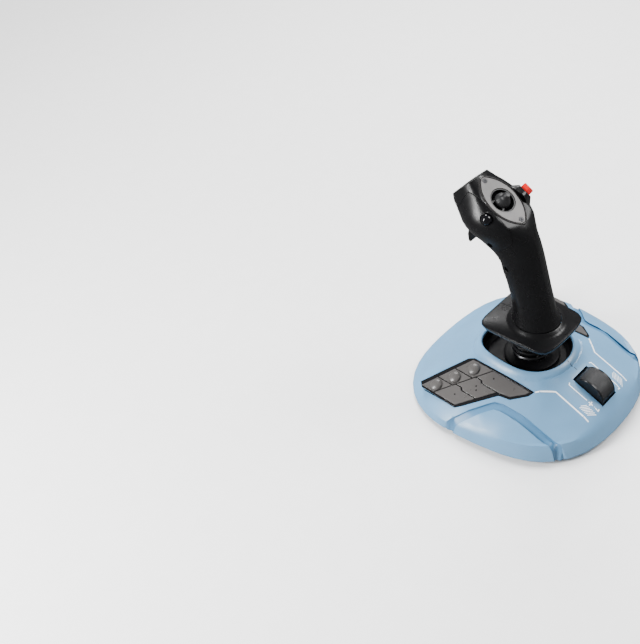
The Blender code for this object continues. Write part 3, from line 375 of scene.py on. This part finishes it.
def band(name, path, width, looks, lift=PRINT_LIFT):
    """A thin closed strip that lies on the base's top along a path."""
    points = resampled(path)
    bm = bmesh.new()
    loops = []
    for point, across in zip(points, mitres(points)):
        left = point + across * width / 2
        right = point - across * width / 2
        corners = ((left, lift), (right, lift), (right, -PRINT_SINK), (left, -PRINT_SINK))
        loops.append([bm.verts.new(deck_point(*place, height)) for place, height in corners])
    for a, b in zip(loops, loops[1:]):
        for i in range(4):
            j = (i + 1) % 4
            bm.faces.new((a[i], a[j], b[j], b[i]))
    bm.faces.new(loops[0])
    bm.faces.new(reversed(loops[-1]))
    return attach(new_object(name, bm, looks), "base")


def print_lines():
    """The white lines on each side, the throttle's brackets and hatching, and a dark strip of painted shadow along
    the rear groove.
    """
    for side, sign in SIDES:
        band(f"line_long_{side}", [(sign * x, y) for x, y in LONG_LINE], LONG_LINE_WIDTH, WHITE_PRINT)
        x = sign * BRACKET_X
        tick = sign * 2.2
        front = [(x - tick, BRACKET_FRONT + 1.0), (x, BRACKET_FRONT)]
        rear = [(x, BRACKET_REAR), (x - tick, BRACKET_REAR + 0.2)]
        if sign < 0:
            gap_front, gap_rear = PLUS_Y + BRACKET_GAP[0], PLUS_Y - BRACKET_GAP[1]
            band("bracket_left_front", [*front, (x, gap_front)], BRACKET_WIDTH, WHITE_PRINT)
            band("bracket_left_rear", [(x, gap_rear), *rear], BRACKET_WIDTH, WHITE_PRINT)
            along = [(x, PLUS_Y + PLUS_HALF), (x, PLUS_Y - PLUS_HALF)]
            across = [(x - PLUS_HALF, PLUS_Y), (x + PLUS_HALF, PLUS_Y)]
            band("plus_along", along, PLUS_WIDTH, WHITE_PRINT)
            band("plus_across", across, PLUS_WIDTH, WHITE_PRINT)
        else:
            band("bracket_right", [*front, *rear], BRACKET_WIDTH, WHITE_PRINT)
        for i in range(HATCH_COUNT):
            start = HATCH_START - HATCH_STEP * i
            low = (sign * HATCH_X[0], start)
            high = (sign * HATCH_X[1], start + HATCH_RISE)
            if high[1] > HATCH_TOP:
                share = (HATCH_TOP - low[1]) / (high[1] - low[1])
                high = (low[0] + (high[0] - low[0]) * share, HATCH_TOP)
            band(f"hatch_{side}_{i}", [low, high], HATCH_WIDTH, WHITE_PRINT)
    # Painted shadow: a flat dark strip where the rear's groove is.
    band("rear_groove_painted_shadow", GROOVE_LINE, GROOVE_WIDTH, GROOVE_SHADOW_PAINT, GROOVE_LIFT)


def off_channel(x, y):
    """How far a place in plan lies from the channel's middle line, in millimetres."""
    place = Vector((abs(x), y))
    nearest = math.inf
    for start, end in zip(CHANNEL_PATH, CHANNEL_PATH[1:]):
        a, b = Vector(start), Vector(end)
        share = max(0.0, min(1.0, (place - a).dot(b - a) / (b - a).length_squared))
        nearest = min(nearest, (place - a.lerp(b, share)).length)
    return nearest


def paint_channel_shade(shell):
    """Paint the faces inside the channels a deeper blue, as painted shade on the channel's floor and walls."""
    mesh = shell.data
    mesh.materials.append(CHANNEL_SHADE_PAINT)
    places = [(v.co - AXIS) / MM for v in mesh.vertices]
    inside = [off_channel(place.x, place.y) < CHANNEL_SHADE_REACH for place in places]
    for face in mesh.polygons:
        if all(inside[i] for i in face.vertices):
            face.material_index = 1


def deepen(side):
    """Carry the bezel's wall further down into the base, so its front end stands on the shell."""
    mesh = bpy.data.objects[f"button_bezel_{side}_skin"].data
    down = Vector(JOINTS[f"key_flat_1_{side}_press"]["axis"])
    lowest = max(v.co.dot(down) for v in mesh.vertices)
    for v in mesh.vertices:
        if v.co.dot(down) > lowest - BEZEL_FOOT * MM:
            v.co += down * BEZEL_SKIRT * MM


def seam_core():
    """A thin web inside the handle's centre seam, which keeps light from showing through it."""
    bm = bmesh.new()
    bm.from_mesh(NODES["handle_left_shell"].data)
    bmesh.ops.remove_doubles(bm, verts=bm.verts, dist=2e-6)
    off_seam = [face for face in bm.faces if any(abs(v.co.x) > SEAM_REACH * MM for v in face.verts)]
    bmesh.ops.delete(bm, geom=off_seam, context="FACES")
    bmesh.ops.dissolve_limit(bm, angle_limit=math.radians(1), verts=bm.verts, edges=bm.edges)
    rim = bmesh.ops.inset_region(bm, faces=bm.faces[:], thickness=SEAM_INSET * MM, use_even_offset=True)
    bmesh.ops.delete(bm, geom=rim["faces"], context="FACES")
    for v in bm.verts:
        v.co.x = -SEAM_HALF * MM
    far = bmesh.ops.extrude_face_region(bm, geom=bm.faces[:], use_keep_orig=True)["geom"]
    for v in far:
        if isinstance(v, bmesh.types.BMVert):
            v.co.x = SEAM_HALF * MM
    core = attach(new_object("seam_core", bm, LOOKS["black_plastic"]), "handle")


def domes():
    """The full round domes on the three upper keys of each side."""
    for side, _ in SIDES:
        for number in (1, 2, 3):
            node = f"key_domed_{number}_{side}"
            out = -Vector(JOINTS[f"{node}_press"]["axis"])
            mesh = NODES[node].data
            crest = max((v.co for v in mesh.vertices), key=lambda co: co.dot(out))
            space = Matrix.Translation(crest) @ out.to_track_quat("Z", "Y").to_matrix().to_4x4()
            profile = [(DOME_REACH * math.sin(turn), -DOME_RISE * (1 - math.cos(turn)))
                       for turn in (math.pi / 2 * i / DOME_ROWS for i in range(DOME_ROWS, 0, -1))]
            foot = (DOME_REACH, -DOME_RISE - DOME_SINK)
            dome = turned(f"dome_{number}_{side}", [foot, *profile], space, LOOKS["dark_grey_plastic"],
                          steps=40)
            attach(dome, BODY_OF[node])


def key_dots():
    """The small dots on the flat keys."""
    for side, sign in SIDES:
        for number, places in DOT_PLACES:
            node = f"key_flat_{number}_{side}"
            low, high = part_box(node)
            middle = (low + high) / 2
            down = Vector(JOINTS[f"{node}_press"]["axis"])
            top = tree_of(node)
            for i, (x, y) in enumerate(places):
                start = middle + Vector((sign * x, y, 0)) * MM - down * 0.03
                hit = top.ray_cast(start, down)[0]
                if hit is None:
                    continue
                bm = bmesh.new()
                bmesh.ops.create_uvsphere(bm, u_segments=16, v_segments=8, radius=DOT_RADIUS * MM)
                turn = (-down).to_track_quat("Z", "Y").to_matrix().to_4x4()
                squash = Matrix.Diagonal((1, 1, 0.3, 1))
                bm.transform(Matrix.Translation(hit) @ turn @ squash)
                dot = new_object(f"dot_{number}_{i}_{side}", bm, DOT_AND_RECESS_SHADE_PAINT, 80)
                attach(dot, BODY_OF[node])


def hat_space():
    """A frame on the hat plate's top, at its middle: Y runs up its slope and Z out of it."""
    up = Vector((0, math.cos(HAT_TILT), math.sin(HAT_TILT)))
    out = Vector((0, -math.sin(HAT_TILT), math.cos(HAT_TILT)))
    place = Vector(JOINTS["hat_left_right"]["pos_m"]) + out * HAT_PIVOT_DEPTH * MM
    turn = Matrix((Vector((1, 0, 0)), up, out)).transposed().to_4x4()
    return Matrix.Translation(place) @ turn


def lens(grow, steps=14):
    """The hat plate's outline about its middle, grown by an amount in millimetres."""
    half = LENS_LENGTH / 2
    radius = (half**2 + LENS_HALF_WIDTH**2) / (2 * LENS_HALF_WIDTH) + grow
    shift = radius - grow - LENS_HALF_WIDTH
    reach = math.acos((shift + LENS_TIP_HALF_WIDTH) / radius)
    outline = []
    for sign in (1, -1):
        for i in range(-steps, steps + 1):
            turn = reach * i / steps
            outline.append((sign * (radius * math.cos(turn) - shift), sign * radius * math.sin(turn)))
    return outline


def closed_loft(name, loops, looks, angle=35):
    """A ring-shaped solid through several loops, the last joined to the first."""
    bm = bmesh.new()
    rows = [[bm.verts.new(p) for p in loop] for loop in loops]
    count = len(rows[0])
    for a, b in zip(rows, rows[1:] + rows[:1]):
        for i in range(count):
            j = (i + 1) % count
            bm.faces.new((a[i], a[j], b[j], b[i]))
    return new_object(name, bm, looks, angle)


def hat_surround():
    """The raised strip round the hat plate."""
    space = hat_space()
    head = tree_of("handle_left_shell", "handle_right_shell", "thumb_module_left", "side_module_right")
    down = -(space.to_3x3() @ Vector((0, 0, 1)))

    def height(u, v):
        start = space @ (Vector((u, v, 12)) * MM)
        hit = head.ray_cast(start, down)[0]
        return (space.inverted() @ hit).z / MM if hit else -1.0

    loops = []
    for grow, lift, follows in SURROUND_RINGS:
        loop = []
        for u, v in lens(grow):
            base = min(0.3, height(u, v)) if follows else 0.0
            loop.append(space @ (Vector((u, v, max(-2.5, base) + lift)) * MM))
        loops.append(loop)
    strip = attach(closed_loft("hat_surround", loops, SURROUND_LOOKS), "handle")


def turned(name, profile, space, looks, steps=48, ribs=0, depth=0.0, span=(0, 0)):
    """A solid of revolution. Between two heights it may carry ribs that run up its side."""
    bm = bmesh.new()
    rows = []
    for r, z in profile:
        row = []
        for i in range(steps):
            turn = math.tau * i / steps
            wave = 1 + depth * math.cos(ribs * turn) if span[0] <= z <= span[1] else 1.0
            place = Vector((r * wave * math.cos(turn), r * wave * math.sin(turn), z))
            row.append(bm.verts.new(space @ (place * MM)))
        rows.append(row)
    for a, b in zip(rows, rows[1:]):
        for i in range(steps):
            j = (i + 1) % steps
            bm.faces.new((a[i], a[j], b[j], b[i]))
    bm.faces.new(reversed(rows[0]))
    bm.faces.new(rows[-1])
    return new_object(name, bm, looks)


def ribbed_hat():
    """The hat, with fine ribs up its side."""
    hat = turned("hat_cap_ribbed", HAT_PROFILE, hat_space(), HAT_LOOKS, 96, HAT_RIBS, HAT_RIB_DEPTH,
                 HAT_RIB_SPAN)
    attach(hat, "hat")
    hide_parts("hat_cap")


def ball_collar():
    """The collar round the thumb ball."""
    low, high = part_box("ball_button")
    out = -Vector(JOINTS["thumb_ball_press"]["axis"])
    turn = out.to_track_quat("Z", "Y").to_matrix().to_4x4()
    ball_space = Matrix.Translation((low + high) / 2 + out * COLLAR_OFFSET * MM) @ turn
    around = [math.tau * i / COLLAR_STEPS for i in range(COLLAR_STEPS)]
    loops = [[ball_space @ (Vector((r * math.cos(a), r * math.sin(a), z)) * MM) for a in around]
             for r, z in COLLAR_SECTION]
    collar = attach(closed_loft("ball_collar", loops, LOOKS["black_plastic"]), "handle")


def screw_recess_shades():
    """A thin dark cross laid on each hat-plate screw's head, painted shade for its cross recess."""
    space = hat_space()
    tilt = space.to_3x3()
    normal = tilt @ Vector((0, 0, 1))
    size = Matrix.Diagonal((*[side * MM for side in RECESS_SHADE_SIZE], 1))
    for node in ("hat_plate_screw_lower", "hat_plate_screw_upper"):
        low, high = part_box(node)
        hit = tree_of(node).ray_cast((low + high) / 2 + normal * 0.02, -normal)[0]
        bm = bmesh.new()
        for turn in (RECESS_SHADE_TURN, RECESS_SHADE_TURN + math.pi / 2):
            made = bmesh.ops.create_cube(bm, size=1.0)
            shape = Matrix.Translation(hit) @ tilt.to_4x4() @ Matrix.Rotation(turn, 4, "Z") @ size
            bmesh.ops.transform(bm, matrix=shape, verts=made["verts"])
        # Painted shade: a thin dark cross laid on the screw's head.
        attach(new_object(f"{node}_recess", bm, DOT_AND_RECESS_SHADE_PAINT), "handle")


def throttle_tread():
    """The fine ribs across the throttle drum."""
    pivot = Vector(JOINTS["throttle_turn"]["pos_m"])
    low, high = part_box("throttle_paddle")
    half = (high.x - low.x) / 2 / MM
    radius = (high.z - pivot.z) / MM
    foot = radius - TREAD_SINK
    edge = radius + TREAD_LIFT
    wide, narrow = half - 1.5, half - 2.0
    bm = bmesh.new()
    rows = []
    for i in range(TREAD_STEPS + 1):
        share = i / TREAD_STEPS - 0.5
        turn = share * TREAD_SPAN + TREAD_LEAN
        rib = 0.5 + 0.5 * math.cos(math.tau * share * TREAD_RIBS)
        top = edge + TREAD_HEIGHT * rib
        row = []
        section = ((-wide, foot), (-wide, edge), (-narrow, top), (narrow, top), (wide, edge), (wide, foot))
        for x, r in section:
            place = Vector((x, -r * math.sin(turn), r * math.cos(turn))) * MM
            row.append(bm.verts.new(pivot + place))
        rows.append(row)
    for a, b in zip(rows, rows[1:]):
        for i in range(6):
            j = (i + 1) % 6
            bm.faces.new((a[i], a[j], b[j], b[i]))
    bm.faces.new(rows[0])
    bm.faces.new(reversed(rows[-1]))
    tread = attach(new_object("throttle_tread", bm, TREAD_LOOKS, 60), "throttle")


def area_light(name, place, target, size, power):
    """A soft rectangular light that faces a point."""
    light = bpy.data.lights.new(name, "AREA")
    light.shape = "RECTANGLE"
    light.size, light.size_y = size
    light.energy = power
    obj = bpy.data.objects.new(name, light)
    obj.location = place
    obj.rotation_euler = (Vector(target) - Vector(place)).to_track_quat("-Z", "Y").to_euler()
    bpy.context.scene.collection.objects.link(obj)


def studio():
    """Floor, even soft light and three soft boxes."""
    bm = bmesh.new()
    bmesh.ops.create_grid(bm, x_segments=2, y_segments=2, size=6.0)
    floor = new_object("floor", bm, surface("pale_floor", (0.93, 0.93, 0.93), 0.9, 3.0, 0.02, 0.01))
    floor.location.z = CAD_BOX[0][2]
    floor.visible_glossy = False
    world = bpy.data.worlds.new("soft_room")
    world.use_nodes = True
    background = world.node_tree.nodes["Background"]
    socket(background, "Color", (1, 1, 1, 1))
    socket(background, "Strength", 0.24)
    bpy.context.scene.world = world
    sun = bpy.data.lights.new("even_light", "SUN")
    sun.energy = 5.0
    sun.angle = math.radians(30)
    lamp = bpy.data.objects.new("even_light", sun)
    lamp.rotation_euler = Vector((0.30, 0.42, 1.0)).to_track_quat("Z", "Y").to_euler()
    lamp.visible_glossy = False
    bpy.context.scene.collection.objects.link(lamp)
    head = AXIS + Vector((0, 0, 0.12))
    area_light("far_softbox", (0.75, 0.75, 0.95), head, (0.5, 0.3), 14.0)
    area_light("left_softbox", (-0.95, 0.45, 0.55), head, (0.14, 0.8), 27.0)
    area_light("right_softbox", head + Vector((0.62, -0.46, 0.71)), head, (0.45, 0.55), 12.0)


def place_camera():
    """The camera, turned a little off the stick to frame it at the right of the picture."""
    azimuth = math.radians(CAMERA_AZIMUTH)
    elevation = math.radians(CAMERA_ELEVATION)
    level = math.cos(elevation)
    forward = Vector((math.sin(azimuth) * level, math.cos(azimuth) * level, -math.sin(elevation)))
    right = Vector((math.cos(azimuth), -math.sin(azimuth), 0))
    rows = Matrix((right, right.cross(forward), -forward))
    turn = (Matrix.Rotation(math.radians(CAMERA_ROLL), 3, "Z")
            @ Matrix.Rotation(math.radians(CAMERA_PITCH), 3, "X")
            @ Matrix.Rotation(math.radians(CAMERA_YAW), 3, "Y"))
    camera = bpy.data.cameras.new("camera")
    camera.lens = CAMERA_LENS
    camera.sensor_width = 36.0
    camera.shift_x = CAMERA_SHIFT
    camera.clip_start = 0.01
    obj = bpy.data.objects.new("camera", camera)
    target = Vector((AXIS.x, AXIS.y, TARGET_HEIGHT))
    obj.matrix_world = (Matrix.Translation(target - forward * CAMERA_DISTANCE)
                        @ (turn @ rows).transposed().to_4x4())
    bpy.context.scene.collection.objects.link(obj)
    bpy.context.scene.camera = obj


# Inner pieces that keep their CAD shape, then the roundings in millimetres and the looks of single pieces.
HIDDEN_INSIDE = ("gimbal_housing", "gimbal_ring", "trunnion_pin_left", "trunnion_pin_right",
                 "gimbal_cross_pin", "magnet_holder", "hall_sensor_board", "twist_bush", "twist_sensor",
                 "throttle_axle", "throttle_bracket", "throttle_potentiometer", "main_board",
                 "button_board_left", "button_board_right", "trigger_pin")
ROUNDED = {"trigger": 0.7, "hat_plate": 0.25, "base_bottom_pan": 0.5}
FLAT_KEY_ROUNDING = 0.4
# The bezels take their gloss black and the stick shaft blackened steel; the well's bowl and spring seats take the
# darker black, painted shade inside the well.
OWN_LOOKS = {"button_bezel_left": BEZEL_LOOKS, "button_bezel_right": BEZEL_LOOKS,
             "stick_shaft": LOOKS["dark_steel"], "well_bowl": WELL_SHADE_PAINT, "spring_seat_lower": WELL_SHADE_PAINT,
             "spring_seat_upper": WELL_SHADE_PAINT}

for node, obj in NODES.items():
    obj.data.materials.clear()
    obj.data.materials.append(LOOKS[SLOT_OF[node]])
for node in sorted(NODES):
    if node in HIDDEN_INSIDE or node == "hat_cap":
        continue
    rounding = FLAT_KEY_ROUNDING if node.startswith("key_flat") else ROUNDED.get(node, 0.0)
    skin(node, OWN_LOOKS.get(node), rounding=rounding)
# Painted shade in the channels of the base's top.
paint_channel_shade(bpy.data.objects["base_top_shell_skin"])
for side, _ in SIDES:
    deepen(side)
seam_core()
print_lines()
domes()
key_dots()
hat_surround()
ribbed_hat()
ball_collar()
screw_recess_shades()
throttle_tread()
studio()
place_camera()
